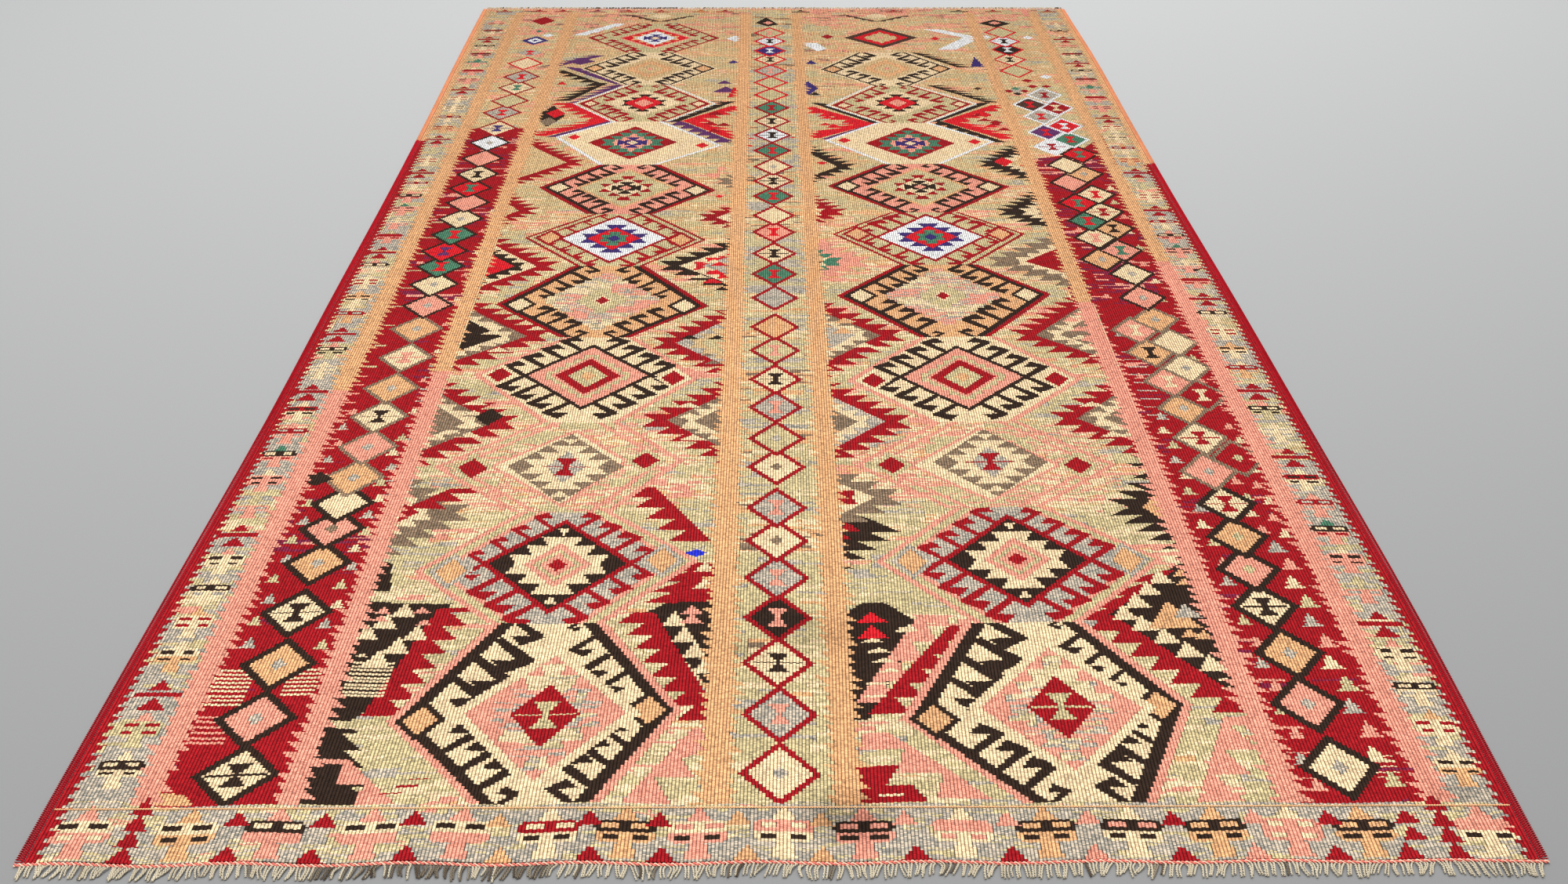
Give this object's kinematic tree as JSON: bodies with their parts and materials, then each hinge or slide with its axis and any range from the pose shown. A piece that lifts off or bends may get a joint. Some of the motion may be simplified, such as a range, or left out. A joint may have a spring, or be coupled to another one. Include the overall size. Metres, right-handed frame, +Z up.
{
  "type": "kilim rug",
  "caption": "Large flat-woven wool rug that lies flat, with overcast side cords, twined end braids and short warp fringes.",
  "frame": {"origin": "middle of the rug's box at the floor, on the cloth's flat underside", "axes": "+Y along the rug from the near end to the far end, +X across it, +Z up out of the pattern side"},
  "size_m": [1.7184, 3.5514, 0.005],
  "materials": {
    "wool_weave": "weft-faced slit weave, matt wool in many colours",
    "crimson_overcast": "overcast wool, matt",
    "peach_overcast": "overcast wool, matt",
    "coral_twine": "two-ply twined wool, matt",
    "peach_twine": "two-ply twined wool, matt",
    "warp_yarn": "undyed twisted warp yarn, matt"
  },
  "bodies": {
    "root": {"kilim_cloth": "wool_weave", "side_cord_left_near": "crimson_overcast", "side_cord_left_far": "peach_overcast", "side_cord_right_near": "crimson_overcast", "side_cord_right_far": "peach_overcast", "end_braid_near": "coral_twine", "end_braid_far": "coral_twine", "twined_line_near": "peach_twine", "fringe_near": "warp_yarn", "fringe_far": "warp_yarn"}
  },
  "joints": []
}
